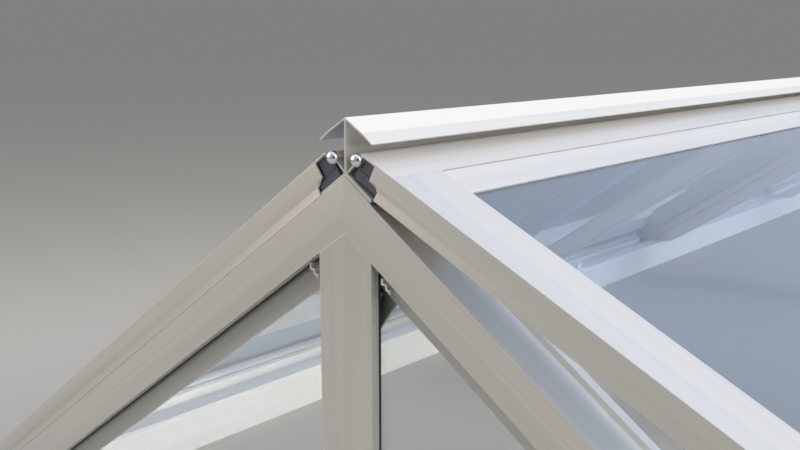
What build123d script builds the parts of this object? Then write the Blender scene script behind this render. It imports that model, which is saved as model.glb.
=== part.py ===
"""Glazed aluminium gable roof of a small greenhouse, from the eaves up to the ridge.

X runs across the gable, Y along the ridge away from the front gable, and Z up.
The origin is under the middle of the front gable tie, on the level that the roof rests on.
"""
from build123d import *
import os
from math import sin, cos, tan, radians, hypot

os.makedirs("parts", exist_ok=True)

# Overall sizes, in millimetres and degrees
bay_length = 1000.0
bay_count = 4
lid_bays = 2
wall_half_width = 685.0
roof_pitch = 35.0
lid_open_angle = 9.0
wall_thickness = 2.0

# Eaves and gable ties
plate_width = 60.0
plate_height = 66.0
eave_edge_height = 49.5
shadow_groove = 2.0
shadow_groove_drop = 4.0

# Ridge extrusion
hinge_half_spacing = 13.8
hinge_rise = 20.0
ridge_rise_over_hinge = 34.2
ridge_set_back = 2.0
cap_half_width = 29.8
cap_fold_half_width = 16.5
cap_upper_pitch = 31.5
cap_lower_pitch = 36.0
cap_wall = 1.5
web_wall = 2.0
arm_wall = 1.8
bead_radius = 3.5
screw_port_radius = 1.6
bead_set_back = 2.8
foot_wall = 3.2
foot_reach = 30.5
ridge_box_half_width = 15.0
ridge_box_depth = 55.0

# Domed studs in the ends of the hinge beads
dome_radius = 6.15
dome_gap = 0.2
stud_length = 18.0
stud_clearance = 0.1

# Gable rafters
gable_depth = 60.0
rafter_face = 39.0
front_tube_depth = 9.0
side_groove = 1.0
side_groove_inset = 1.5
rafter_body_depth = 24.0
inner_leg_set_back = 18.0
inner_leg_depth = 60.0
inner_leg_wall = 4.0
front_lip = 2.0
channel_depth = 3.0
channel_end = 31.0
lip_end = 44.0
lip_groove = 2.0

# Rafters between the gables
rafter_width = 60.0
rafter_depth = 30.0
fixing_slot = 6.0
fixing_slot_inset = 8.0

# Gable mullions and glazing
post_half_width = 30.0
post_stem_half_width = 12.0
glass_thickness = 4.0
gasket_thickness = 3.0
gasket_width = 9.0
glass_bite = 11.0
rebate_clearance = 1.0
gusset_thickness = 3.0
gusset_set_back = 22.0
gusset_reach = 44.0
gusset_drop = 16.0
gusset_slant = 53.0

# Hinged roof lids
lid_seat_gap = 0.4
lid_top_rise = 7.8
hook_clearance = 0.3
hook_wall = 1.6
hook_wrap = 215.0
stile_width = 62.0
stile_cove_height = 9.3
stile_cove_depth = 1.2
lid_body_start = 20.0
lid_step_depth = 12.0
lid_step_back = 10.9
lid_step_slant = 4.5
lap_end = 40.2
line_groove = 2.0
line_groove_depth = 1.2
fold_width = 11.0
fold_drop = 1.3
top_rail_end = 74.4
bottom_rail_width = 58.0
lid_overhang = 27.3
lid_gap = 4.0
rebate_width = 24.0
rebate_lip = 1.6
rebate_lip_set_back = 8.0
lid_glass_drop = 3.4
lid_glass_bite = 13.0
lid_slot_depth = 13.6
lid_slot_clearance = 0.2
drip_wall = 2.0
drip_depth = 8.0

# Stays that hold the open lid
stay_width = 16.0
stay_wall = 3.0
stay_hole_radius = 2.6
stay_hole_count = 4
stay_pin_radius = 2.5
stay_side_gap = 0.3
bracket_wall = 2.5
bracket_height = 18.0
bracket_length = 30.0
stay_foot_inset = 20.0
stay_positions = (0.25, 0.75)

# Sizes worked out from those above
pitch = radians(roof_pitch)
roof_length = bay_length * bay_count
front_y = -gable_depth / 2
back_y = front_y + roof_length
mid_y = (front_y + back_y) / 2
roof_plane_top = eave_edge_height + wall_half_width * tan(pitch)
hinge_z = roof_plane_top - hinge_half_spacing * tan(pitch) + hinge_rise / cos(pitch)
cap_top = hinge_z + ridge_rise_over_hinge
rafter_top = -hinge_rise
plate_inner_x = wall_half_width - plate_width
lid_top = lid_top_rise
lid_bottom = lid_seat_gap - hinge_rise
step_u = lid_body_start + lid_step_back
step_v = lid_bottom + lid_step_depth
lid_length = (wall_half_width - hinge_half_spacing + hinge_rise * sin(pitch)) / cos(pitch) + lid_overhang
glass_top = lid_top - lid_glass_drop
slot_top = glass_top + lid_slot_clearance
slot_bottom = glass_top - glass_thickness - lid_slot_clearance
rebate_bottom = slot_bottom - rebate_lip
far_away = 4 * wall_half_width + roof_length


def roof_z(x, drop=0.0):
    """Height of the plane of the rafter tops at x, or of a plane that lies drop below it."""
    return roof_plane_top - drop / cos(pitch) - abs(x) * tan(pitch)


def filled(points):
    """A flat face from a list of corners."""
    return make_face(Polyline(*points, close=True))


def box_face(low, high):
    """A rectangle between two opposite corners."""
    return filled([low, (high[0], low[1]), high, (low[0], high[1])])


def strip(start, end, wall):
    """A thin straight wall between two points, centred on the line that joins them."""
    length = hypot(end[0] - start[0], end[1] - start[1])
    side_x = (start[1] - end[1]) / length * wall / 2
    side_z = (end[0] - start[0]) / length * wall / 2
    return filled([
        (start[0] + side_x, start[1] + side_z),
        (end[0] + side_x, end[1] + side_z),
        (end[0] - side_x, end[1] - side_z),
        (start[0] - side_x, start[1] - side_z),
    ])


def along_ridge(section, y_from, y_to):
    """Extrude a section drawn in X and Z along the ridge."""
    plane = Plane(origin=(0, y_to, 0), x_dir=(1, 0, 0), z_dir=(0, -1, 0))
    return extrude(plane * section, amount=y_to - y_from)


def along_hinge(section, angle, y_from, y_to):
    """Extrude a section drawn down the slope and square to it, about the right hinge axis."""
    turn = radians(angle)
    plane = Plane(origin=(hinge_half_spacing, y_to, hinge_z), x_dir=(cos(turn), 0, -sin(turn)), z_dir=(0, -1, 0))
    return extrude(plane * section, amount=y_to - y_from)


def down_slope(section, angle, u_from, u_to):
    """Extrude a section drawn in Y and square to the slope, down the right slope."""
    turn = radians(angle)
    direction = Vector(cos(turn), 0, -sin(turn))
    start = Vector(hinge_half_spacing, 0, hinge_z) + direction * u_from
    plane = Plane(origin=start, x_dir=(0, 1, 0), z_dir=direction)
    return extrude(plane * section, amount=u_to - u_from)


def upright(section, z_from, z_to):
    """Extrude a section drawn in X and Y upwards."""
    return extrude(Plane(origin=(0, 0, z_from)) * section, amount=z_to - z_from)


def across(section, x_from, x_to):
    """Extrude a section drawn in Y and Z across the gable."""
    plane = Plane(origin=(x_from, 0, 0), x_dir=(0, 1, 0), z_dir=(1, 0, 0))
    return extrude(plane * section, amount=x_to - x_from)


def block(low, high):
    """A box between two opposite corners."""
    size = [b - a for a, b in zip(low, high)]
    centre = [(a + b) / 2 for a, b in zip(low, high)]
    return Pos(*centre) * Box(*size)


def to_left(shape):
    """The same piece on the left slope."""
    return mirror(shape, about=Plane.YZ)


def to_back(shape):
    """The same piece on the back gable."""
    return mirror(shape, about=Plane(origin=(0, mid_y, 0), x_dir=(1, 0, 0), z_dir=(0, 1, 0)))


def under_roof(y_from, y_to, drop=0.0):
    """A prism that fills the gable under a plane that lies drop below the rafter tops."""
    edge_z = roof_z(wall_half_width, drop)
    corners = [(-wall_half_width, 0), (wall_half_width, 0), (wall_half_width, edge_z)]
    corners += [(0, roof_z(0, drop)), (-wall_half_width, edge_z)]
    return along_ridge(filled(corners), y_from, y_to)


def save(shape, node):
    """Write one named piece."""
    shape.label = node
    export_step(shape, f"parts/{node}.step")


def ridge_bar():
    """The ridge extrusion: cap, web, two arms with hinge beads, two feet and a box between rafters."""
    fold_z = cap_top - cap_fold_half_width * tan(radians(cap_upper_pitch))
    tip_z = fold_z - (cap_half_width - cap_fold_half_width) * tan(radians(cap_lower_pitch))
    drop = cap_wall / cos(pitch)
    junction_z = roof_z(0)
    bead = Pos(hinge_half_spacing, hinge_z) * Circle(bead_radius)
    port = Pos(hinge_half_spacing, hinge_z) * Circle(screw_port_radius)
    wing = filled([
        (0, cap_top), (cap_fold_half_width, fold_z), (cap_half_width, tip_z),
        (cap_half_width - cap_wall * sin(pitch), tip_z - cap_wall * cos(pitch)),
        (cap_fold_half_width, fold_z - drop), (0, cap_top - drop),
    ])
    arm = strip((0, junction_z + arm_wall), (hinge_half_spacing, hinge_z), arm_wall)
    foot_end_x = hinge_half_spacing + foot_reach * cos(pitch) - hinge_rise * sin(pitch)
    foot = filled([
        (0, junction_z), (foot_end_x, roof_z(foot_end_x)),
        (foot_end_x + foot_wall * sin(pitch), roof_z(foot_end_x) + foot_wall * cos(pitch)),
        (0, roof_z(0, -foot_wall)),
    ])
    web = box_face((-web_wall / 2, junction_z), (web_wall / 2, cap_top - drop))
    half_profile = wing + foot
    profile = half_profile + mirror(half_profile, about=Plane.YZ) + web
    hinge_profile = arm + bead - port
    hinge_pair = hinge_profile + mirror(hinge_profile, about=Plane.YZ)
    body = along_ridge(profile, front_y + ridge_set_back, back_y - ridge_set_back)
    body += along_ridge(hinge_pair, front_y + bead_set_back, back_y - bead_set_back)
    outer = filled([
        (0, junction_z), (ridge_box_half_width, roof_z(ridge_box_half_width)),
        (ridge_box_half_width, junction_z - ridge_box_depth),
        (-ridge_box_half_width, junction_z - ridge_box_depth),
        (-ridge_box_half_width, roof_z(ridge_box_half_width)),
    ])
    box = outer - offset(outer, amount=-wall_thickness, kind=Kind.INTERSECTION)
    body += along_ridge(box, front_y + gable_depth, back_y - gable_depth)
    return body


def hinge_studs():
    """Domed studs screwed into both ends of both hinge beads."""
    flat_y = front_y + bead_set_back - dome_gap
    stem_start = flat_y - dome_radius / 2
    stem_end = front_y + bead_set_back + stud_length
    stem = Circle(screw_port_radius - stud_clearance)
    outside = block((-far_away, -far_away, -far_away), (far_away, flat_y, far_away))
    studs = []
    for side in (1, -1):
        centre = (side * hinge_half_spacing, hinge_z)
        stud = Pos(centre[0], flat_y, centre[1]) * Sphere(dome_radius) & outside
        stud += along_ridge(Pos(*centre) * stem, stem_start, stem_end)
        studs += [stud, to_back(stud)]
    return Compound(children=studs)


def rafter_outline():
    """Outline of a gable rafter in Y and square to the slope, as a list of corners."""
    top = rafter_top
    floor = top - channel_depth
    body = top - rafter_body_depth
    face = top - rafter_face
    tube_back = front_y + front_tube_depth
    leg_y = front_y + inner_leg_set_back
    leg_end = leg_y + inner_leg_wall
    side_y = tube_back - side_groove_inset - side_groove
    groove_end = lip_end + lip_groove
    return [
        (front_y, top), (front_y + front_lip, top), (front_y + front_lip, floor),
        (front_y + channel_end, floor), (front_y + channel_end, top), (front_y + lip_end, top),
        (front_y + lip_end, floor), (front_y + groove_end, floor), (front_y + groove_end, top),
        (front_y + gable_depth, top), (front_y + gable_depth, body), (leg_end, body),
        (leg_end, top - inner_leg_depth), (leg_y, top - inner_leg_depth), (leg_y, body),
        (tube_back, body), (tube_back, face), (side_y + side_groove, face),
        (side_y + side_groove, face + side_groove), (side_y, face + side_groove), (side_y, face),
        (front_y, face),
    ]


def gable_rafter_envelope():
    """The right front gable rafter as a solid bar, longer than the piece itself."""
    bar = down_slope(filled(rafter_outline()), roof_pitch, -2 * gable_depth, lid_length + gable_depth)
    room = block((0, front_y, plate_height), (far_away, front_y + gable_depth, far_away))
    return bar & room


def gable_rafter():
    """The right front gable rafter, mitred at the ridge and cut level where it sits on the tie."""
    wall = wall_thickness
    ceiling = rafter_top - channel_depth - wall
    tube_back = front_y + front_tube_depth
    front_hollow = box_face(
        (front_y + wall, rafter_top - rafter_face + wall), (tube_back - wall, ceiling))
    body_hollow = box_face(
        (tube_back, rafter_top - rafter_body_depth + wall), (front_y + gable_depth - wall, ceiling))
    hollow = front_hollow + body_hollow
    return gable_rafter_envelope() - down_slope(hollow, roof_pitch, -2 * gable_depth, lid_length + gable_depth)


def rafter(y):
    """A right rafter between the gables, with a fixing slot along its underside near the front edge."""
    half = rafter_width / 2
    wall = wall_thickness
    bottom = rafter_top - rafter_depth
    slot_y = y - half + fixing_slot_inset
    outline = box_face((y - half, bottom), (y + half, rafter_top))
    outline -= box_face((y - half + wall, bottom + wall), (y + half - wall, rafter_top - wall))
    outline -= box_face((slot_y, bottom), (slot_y + fixing_slot, bottom + wall))
    bar = down_slope(outline, roof_pitch, -rafter_width, lid_length + rafter_width)
    room = block((ridge_box_half_width, y - half, plate_height), (far_away, y + half, far_away))
    return bar & room


def eave_bar():
    """The right eaves bar, between the gable ties."""
    x_turn = (roof_plane_top - plate_height) / tan(pitch)
    outer = filled([
        (plate_inner_x, 0), (wall_half_width, 0), (wall_half_width, eave_edge_height),
        (x_turn, plate_height), (plate_inner_x, plate_height),
    ])
    profile = outer - offset(outer, amount=-wall_thickness, kind=Kind.INTERSECTION)
    groove_top = plate_height - shadow_groove_drop
    profile -= box_face((plate_inner_x, groove_top - shadow_groove), (plate_inner_x + wall_thickness / 2, groove_top))
    return along_ridge(profile, front_y + gable_depth, back_y - gable_depth)


def gable_tie():
    """The front gable tie, with a rebate along its top for the glass."""
    rebate_floor = plate_height - glass_bite - rebate_clearance
    tube_back = front_y + front_tube_depth
    rebate_end = tube_back + gasket_thickness + glass_thickness + wall_thickness
    side_y = tube_back - side_groove_inset - side_groove
    outer = filled([
        (front_y, 0), (front_y + gable_depth, 0), (front_y + gable_depth, plate_height),
        (rebate_end, plate_height), (rebate_end, rebate_floor), (tube_back, rebate_floor),
        (tube_back, plate_height), (side_y + side_groove, plate_height),
        (side_y + side_groove, plate_height - side_groove), (side_y, plate_height - side_groove),
        (side_y, plate_height), (front_y, plate_height),
    ])
    hollow = box_face(
        (front_y + wall_thickness, wall_thickness),
        (front_y + gable_depth - wall_thickness, rebate_floor - wall_thickness))
    bar = across(outer - hollow, -wall_half_width, wall_half_width)
    return bar & under_roof(front_y, front_y + gable_depth)


def king_post():
    """The middle post of the front gable, tucked under the mitred rafters."""
    wall = wall_thickness
    tube_back = front_y + front_tube_depth
    post_back = front_y + gable_depth
    outline = box_face((-post_half_width, front_y), (post_half_width, tube_back))
    outline += box_face((-post_stem_half_width, tube_back), (post_stem_half_width, post_back))
    outline -= box_face((wall - post_half_width, front_y + wall), (post_half_width - wall, tube_back - wall))
    side_y = tube_back - side_groove_inset - side_groove
    for edge_x in (-post_half_width, post_half_width - side_groove):
        outline -= box_face((edge_x, side_y), (edge_x + side_groove, side_y + side_groove))
    outline -= box_face(
        (wall - post_stem_half_width, tube_back), (post_stem_half_width - wall, post_back - wall))
    post = upright(outline, plate_height, roof_z(0)) & under_roof(front_y, post_back, rafter_body_depth)
    envelope = gable_rafter_envelope()
    return post - envelope - to_left(envelope)


def gable_opening(grow):
    """The right glazed triangle of the gable in X and Z, grown on every side."""
    low_x = post_half_width - grow
    low_z = plate_height - grow
    drop = rafter_face - grow
    right_x = (roof_plane_top - drop / cos(pitch) - low_z) / tan(pitch)
    return filled([(low_x, low_z), (right_x, low_z), (low_x, roof_z(low_x, drop))])


def gable_glass():
    """The right pane of the front gable."""
    glass_y = front_y + front_tube_depth + gasket_thickness
    return along_ridge(gable_opening(glass_bite), glass_y, glass_y + glass_thickness)


def gable_gasket():
    """The gasket between the right pane of the front gable and the frame in front of it."""
    ring = gable_opening(gasket_width) - gable_opening(0)
    tube_back = front_y + front_tube_depth
    return along_ridge(ring, tube_back, tube_back + gasket_thickness)


def gusset():
    """The right plate that ties the king post to the gable rafter behind the glass."""
    low_x = post_stem_half_width
    high_x = low_x + gusset_reach
    edge_z = roof_z(high_x, rafter_body_depth) - gusset_drop
    low_z = edge_z - gusset_reach * tan(radians(gusset_slant))
    face = filled([
        (low_x, low_z), (high_x, edge_z), (high_x, roof_z(high_x, rafter_body_depth)),
        (low_x, roof_z(low_x, rafter_body_depth)),
    ])
    plate_y = front_y + gusset_set_back
    return along_ridge(face, plate_y, plate_y + gusset_thickness)


def rebated(outline, slot_from, slot_to):
    """Hollow out a section and cut its glass slot, whose open end is at slot_to."""
    inward = 1 if slot_to > slot_from else -1
    rebate = box_face((slot_from, rebate_bottom), (slot_to, lid_top))
    section = outline - offset(outline - rebate, amount=-wall_thickness, kind=Kind.INTERSECTION)
    section -= box_face((slot_from, slot_bottom), (slot_to, slot_top))
    return section - box_face((slot_to - inward * rebate_lip_set_back, rebate_bottom), (slot_to, slot_bottom))


def lid_top_rail(angle, y_from, y_to):
    """The hooked top rail of a lid: its hook turns on the bead and its top laps over the stiles."""
    inner_radius = bead_radius + hook_clearance
    hook_radius = inner_radius + hook_wall
    outer = Circle(hook_radius) - Circle(inner_radius)
    reach = 3 * lid_top
    wrap_end = (reach * cos(radians(hook_wrap)), reach * sin(radians(hook_wrap)))
    gap = filled([(0, 0), wrap_end, (wrap_end[0], -reach), (reach, -reach), (reach, 0)])
    hook = outer - gap
    riser = box_face((inner_radius, 0), (hook_radius, lid_top))
    plate = box_face((inner_radius, lid_top - hook_wall), (lap_end, lid_top))
    hook += riser + plate
    fold_start = lap_end + line_groove
    box_end = top_rail_end - rebate_width
    outline = filled([
        (lid_body_start, lid_top), (fold_start, lid_top), (fold_start + fold_width, lid_top - fold_drop),
        (top_rail_end, lid_top - fold_drop), (top_rail_end, rebate_bottom), (box_end, rebate_bottom),
        (box_end, lid_bottom), (step_u, lid_bottom), (step_u, step_v - lid_step_slant), (lid_body_start, step_v),
    ])
    body = rebated(outline, top_rail_end - lid_slot_depth, top_rail_end)
    body -= box_face((lap_end, lid_top - line_groove_depth), (fold_start, lid_top))
    rail = along_hinge(hook, angle, y_from, y_to)
    rail += along_hinge(body, angle, y_from + stile_width, y_to - stile_width)
    for y in (front_y, back_y - bead_set_back):
        rail -= along_hinge(Circle(dome_radius + dome_gap), angle, y, y + bead_set_back)
    return rail


def lid_stile(angle, y_from, facing):
    """One stile of a lid, from its outer side at y_from towards facing, which is 1 or -1."""
    box_width = stile_width - rebate_width
    cove_top = lid_bottom + stile_cove_height
    outline = filled([
        (0, lid_top), (stile_width, lid_top), (stile_width, rebate_bottom), (box_width, rebate_bottom),
        (box_width, lid_bottom), (0, lid_bottom), (stile_cove_depth, cove_top - stile_cove_depth), (0, cove_top),
    ])
    outline = rebated(outline, stile_width - lid_slot_depth, stile_width)
    if facing < 0:
        outline = mirror(outline, about=Plane.YZ)
    stile = down_slope(Pos(y_from, 0) * outline, angle, lid_body_start, lid_length)
    y_to = y_from + facing * stile_width
    low_y = min(y_from, y_to)
    high_y = max(y_from, y_to)
    notch = filled([
        (0, step_v), (lid_body_start, step_v), (step_u, step_v - lid_step_slant), (step_u, 2 * lid_bottom),
        (0, 2 * lid_bottom),
    ])
    lap = box_face((0, lid_top - hook_wall), (lap_end, 2 * lid_top))
    stile -= along_hinge(notch, angle, low_y, high_y)
    stile -= along_hinge(lap, angle, low_y, high_y)
    return stile


def lid_bottom_rail(angle, y_from, y_to):
    """The bottom rail of a lid, between the stiles, with a drip edge outside the eaves."""
    start = lid_length - bottom_rail_width
    box_start = start + rebate_width
    outline = filled([
        (start, lid_top), (lid_length, lid_top), (lid_length, lid_bottom), (box_start, lid_bottom),
        (box_start, rebate_bottom), (start, rebate_bottom),
    ])
    body = rebated(outline, start + lid_slot_depth, start)
    body += box_face((lid_length - drip_wall, lid_bottom - drip_depth), (lid_length, lid_bottom))
    return along_hinge(body, angle, y_from + stile_width, y_to - stile_width)


def lid_glass(angle, y_from, y_to):
    """The single sheet of glass in a lid."""
    sheet = box_face(
        (top_rail_end - lid_glass_bite, glass_top - glass_thickness),
        (lid_length - bottom_rail_width + lid_glass_bite, glass_top))
    inset = stile_width - lid_glass_bite
    return along_hinge(sheet, angle, y_from + inset, y_to - inset)


def lid_pieces(angle, y_from, y_to):
    """All pieces of a lid on the right slope, by name."""
    stiles = [lid_stile(angle, y_from, 1), lid_stile(angle, y_to, -1)]
    return {
        "top_rail": lid_top_rail(angle, y_from, y_to),
        "stiles": Compound(children=stiles),
        "bottom_rail": lid_bottom_rail(angle, y_from, y_to),
        "glass": lid_glass(angle, y_from, y_to),
    }


def stay_ends():
    """Pin centres of a stay in X and Z: on the eaves bar and under the open lid's bottom rail."""
    turn = radians(roof_pitch - lid_open_angle)
    pin_u = lid_length - bottom_rail_width + rebate_width + bracket_length / 2
    pin_v = lid_bottom - bracket_height + stay_width / 2
    lid_pin = (
        hinge_half_spacing + pin_u * cos(turn) + pin_v * sin(turn),
        hinge_z - pin_u * sin(turn) + pin_v * cos(turn),
    )
    eave_pin = (plate_inner_x + stay_foot_inset, plate_height + bracket_height - stay_width / 2)
    return eave_pin, lid_pin


def lid_stay(y):
    """A flat stay bar with a row of peg holes."""
    eave_pin, lid_pin = stay_ends()
    bar = strip(eave_pin, lid_pin, stay_width)
    bar += Pos(*eave_pin) * Circle(stay_width / 2)
    bar += Pos(*lid_pin) * Circle(stay_width / 2)
    for index in range(stay_hole_count + 2):
        share = index / (stay_hole_count + 1)
        x = eave_pin[0] + (lid_pin[0] - eave_pin[0]) * share
        z = eave_pin[1] + (lid_pin[1] - eave_pin[1]) * share
        bar -= Pos(x, z) * Circle(stay_hole_radius)
    return along_ridge(bar, y - stay_wall / 2, y + stay_wall / 2)


def stay_bracket(extrude_section, y, plate, cheek, pin):
    """A folded bracket with two cheeks and the pin that passes through the stay."""
    inner = stay_wall / 2 + stay_side_gap
    outer = inner + bracket_wall
    bracket = extrude_section(plate, y - outer, y + outer)
    bracket += extrude_section(cheek, y - outer, y - inner)
    bracket += extrude_section(cheek, y + inner, y + outer)
    bracket += extrude_section(Pos(*pin) * Circle(stay_pin_radius), y - outer, y + outer)
    return bracket


def eave_bracket(y):
    """The bracket of a stay on top of the right eaves bar."""
    eave_pin, lid_pin = stay_ends()
    half = stay_foot_inset - bracket_wall
    plate = box_face(
        (eave_pin[0] - half, plate_height), (eave_pin[0] + half / 2, plate_height + bracket_wall / 2))
    cheek = box_face((eave_pin[0] - half / 2, plate_height), (eave_pin[0] + half / 2, eave_pin[1]))
    cheek += Pos(*eave_pin) * Circle(half / 2)
    return stay_bracket(along_ridge, y, plate, cheek, eave_pin)


def lid_bracket(y):
    """The bracket of a stay under the bottom rail of the open lid."""
    angle = roof_pitch - lid_open_angle
    pin_u = lid_length - bottom_rail_width + rebate_width + bracket_length / 2
    pin = (pin_u, lid_bottom - bracket_height + stay_width / 2)
    half = bracket_length / 2
    plate = box_face((pin[0] - half, lid_bottom - bracket_wall / 2), (pin[0] + half, lid_bottom))
    cheek = box_face((pin[0] - half / 2, pin[1]), (pin[0] + half / 2, lid_bottom))
    cheek += Pos(*pin) * Circle(half / 2)

    def about_lid(section, y_from, y_to):
        return along_hinge(section, angle, y_from, y_to)

    return stay_bracket(about_lid, y, plate, cheek, pin)


# Ridge
save(ridge_bar(), "ridge_bar")
save(hinge_studs(), "hinge_studs")

# Gables: the front right pieces are mirrored to the left and to the back
gable_makers = {
    "gable_rafter": gable_rafter(),
    "gable_glass": gable_glass(),
}
for name, right_piece in gable_makers.items():
    left_piece = to_left(right_piece)
    save(right_piece, f"{name}_front_right")
    save(left_piece, f"{name}_front_left")
    save(to_back(right_piece), f"{name}_back_right")
    save(to_back(left_piece), f"{name}_back_left")
for name, piece in {"gable_tie": gable_tie(), "king_post": king_post()}.items():
    save(piece, f"{name}_front")
    save(to_back(piece), f"{name}_back")
for name, right_piece in {"apex_gussets": gusset(), "gable_gaskets": gable_gasket()}.items():
    pair = [right_piece, to_left(right_piece)]
    save(Compound(children=pair), f"{name}_front")
    save(Compound(children=[to_back(piece) for piece in pair]), f"{name}_back")

# Eaves and the rafters between the gables
save(eave_bar(), "eave_bar_right")
save(to_left(eave_bar()), "eave_bar_left")
for number in range(1, bay_count):
    bar = rafter(front_y + number * bay_length)
    save(bar, f"rafter_right_{number}")
    save(to_left(bar), f"rafter_left_{number}")

# Lids: the front right one is propped open and the others are shut
closed = roof_pitch
propped = roof_pitch - lid_open_angle
lid_break = front_y + lid_bays * bay_length
lid_spans = {"front": (front_y, lid_break - lid_gap / 2), "back": (lid_break + lid_gap / 2, back_y)}
for place, (y_from, y_to) in lid_spans.items():
    right_angle = propped if place == "front" else closed
    for piece, shape in lid_pieces(right_angle, y_from, y_to).items():
        save(shape, f"lid_{place}_right_{piece}")
    for piece, shape in lid_pieces(closed, y_from, y_to).items():
        save(to_left(shape), f"lid_{place}_left_{piece}")

# Stays of the open lid
open_span = lid_spans["front"]
stay_ys = [open_span[0] + share * (open_span[1] - open_span[0]) for share in stay_positions]
save(Compound(children=[lid_stay(y) for y in stay_ys]), "lid_stays")
brackets = [lid_bracket(y) for y in stay_ys] + [eave_bracket(y) for y in stay_ys]
save(Compound(children=brackets), "stay_brackets")
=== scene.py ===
# %% [markdown]
# # A glazed greenhouse roof
# This lesson dresses the metal and glass of a small greenhouse roof. The frame, lids and glass come from the
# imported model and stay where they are. The lesson gives them their finishes and adds the small fittings:
# domed hinge studs, glazing clips, sealant, bolts and screws, stay keepers, end plugs and end caps.

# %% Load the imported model
import bpy
import bmesh
from math import sin, cos, tan, radians, pi
from mathutils import Euler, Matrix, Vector


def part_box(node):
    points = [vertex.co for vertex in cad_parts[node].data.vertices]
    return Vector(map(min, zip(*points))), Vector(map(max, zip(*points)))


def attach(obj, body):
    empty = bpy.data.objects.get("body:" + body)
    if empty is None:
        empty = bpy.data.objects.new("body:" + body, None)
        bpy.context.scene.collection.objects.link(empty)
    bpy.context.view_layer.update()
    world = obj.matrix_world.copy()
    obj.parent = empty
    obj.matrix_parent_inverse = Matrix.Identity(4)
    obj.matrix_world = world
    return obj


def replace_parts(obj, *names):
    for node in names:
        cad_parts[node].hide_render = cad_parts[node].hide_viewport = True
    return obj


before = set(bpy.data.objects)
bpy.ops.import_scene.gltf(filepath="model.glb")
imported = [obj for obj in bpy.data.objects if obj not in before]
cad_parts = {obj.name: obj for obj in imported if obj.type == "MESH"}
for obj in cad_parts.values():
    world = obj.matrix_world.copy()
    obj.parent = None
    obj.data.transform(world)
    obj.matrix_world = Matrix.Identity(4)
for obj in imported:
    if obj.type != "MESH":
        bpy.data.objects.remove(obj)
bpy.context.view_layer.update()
bpy.context.scene.view_settings.view_transform = "Standard"
print("pieces in the frame:", len(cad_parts))

# %% [markdown]
# Every later place is worked out from the frame. The hinge axes run through the domed studs, the gable's
# outer face is the front of the gable tie, and both slopes fall at the same pitch. The open lid stands nine
# degrees above its slope. Places on a slope are given by u, the distance down from the hinge axis, and v, the
# height square to the slope.

# %% Places read from the frame
ROOF_PITCH = radians(35)
LID_OPENING = radians(9)
DOME_RADIUS = 0.00615

stud_low, stud_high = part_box("hinge_studs")
hinge_x = stud_high.x - DOME_RADIUS
hinge_z = (stud_low.z + stud_high.z) / 2
front_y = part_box("gable_tie_front")[0].y
back_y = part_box("gable_tie_back")[1].y
cap_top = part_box("ridge_bar")[1].z
print("hinge axis at x", round(hinge_x, 4), "z", round(hinge_z, 4), "gable face at y", round(front_y, 4))


def slope_point(side, pitch, u, y, v):
    """A point u down a slope and v square to it; side is 1 on the right and -1 on the left."""
    x = hinge_x + u * cos(pitch) + v * sin(pitch)
    z = hinge_z - u * sin(pitch) + v * cos(pitch)
    return Vector((side * x, y, z))


# %% [markdown]
# The photograph looks at the ridge end from outside the near gable, from the right and a little above the
# ridge. The camera's place was solved from the straight edges in the picture, as distances from the end of
# the ridge cap.

# %% Camera
CAMERA_FROM_CAP_END = Vector((0.5387, -0.5531, 0.0628))
CAMERA_YAW = radians(40.79)
CAMERA_TILT = radians(11.17)
FOCAL_PIXELS = 942.0
PICTURE_WIDTH = 800
SENSOR_WIDTH = 36.0
NEAREST_SEEN = 0.01


def in_scene(name, data):
    """A new object that holds data, linked into the scene."""
    thing = bpy.data.objects.new(name, data)
    bpy.context.scene.collection.objects.link(thing)
    return thing


camera_data = bpy.data.cameras.new("camera")
camera_data.sensor_width = SENSOR_WIDTH
camera_data.lens = FOCAL_PIXELS * SENSOR_WIDTH / PICTURE_WIDTH
camera_data.clip_start = NEAREST_SEEN
camera = in_scene("camera", camera_data)
camera.location = Vector((0, front_y, cap_top)) + CAMERA_FROM_CAP_END
camera.rotation_euler = (pi / 2 - CAMERA_TILT, 0, CAMERA_YAW)
bpy.context.scene.camera = camera
print("lens", round(camera_data.lens, 2), "mm")

# %% [markdown]
# ## World
# Pale metal shows its form by what it mirrors, so an even grey world would flatten it. This one has three
# soft bands: a slightly blue sky, a darker band at the horizon, and the floor below.

# %% Bands of the world
ZENITH_COLOUR = (0.66, 0.77, 0.97, 1)
SKY_COLOUR = (0.69, 0.76, 0.91, 1)
BACKDROP_COLOUR = (0.220, 0.225, 0.212, 1)
BAND_TOP = 0.06
SKY_START = 0.26

world = bpy.data.worlds.new("studio")
bpy.context.scene.world = world
world.use_nodes = True
world_nodes = world.node_tree.nodes
world_links = world.node_tree.links
direction = world_nodes.new("ShaderNodeTexCoord")
height = world_nodes.new("ShaderNodeSeparateXYZ")
bands = world_nodes.new("ShaderNodeValToRGB")
bands.color_ramp.interpolation = "EASE"
bands.color_ramp.elements[0].position = BAND_TOP
bands.color_ramp.elements[0].color = BACKDROP_COLOUR
bands.color_ramp.elements[1].position = 1.0
bands.color_ramp.elements[1].color = ZENITH_COLOUR
bands.color_ramp.elements.new(SKY_START).color = SKY_COLOUR
world_links.new(direction.outputs["Generated"], height.inputs[0])
world_links.new(height.outputs["Z"], bands.inputs["Fac"])
print("bands in the world:", len(bands.color_ramp.elements))

# %% [markdown]
# Four patches lie over the bands, as soft boxes and screens would: a warm glow low on the left, a pale haze
# round the sun on the right, a dull screen in front, and a small black flag that only the polished domes
# mirror. Brushed faces that run down to the left mirror the glow, and those that run down to the right mirror
# the screen. An area lamp would need a place and a size, a patch only a direction and a width.

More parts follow.
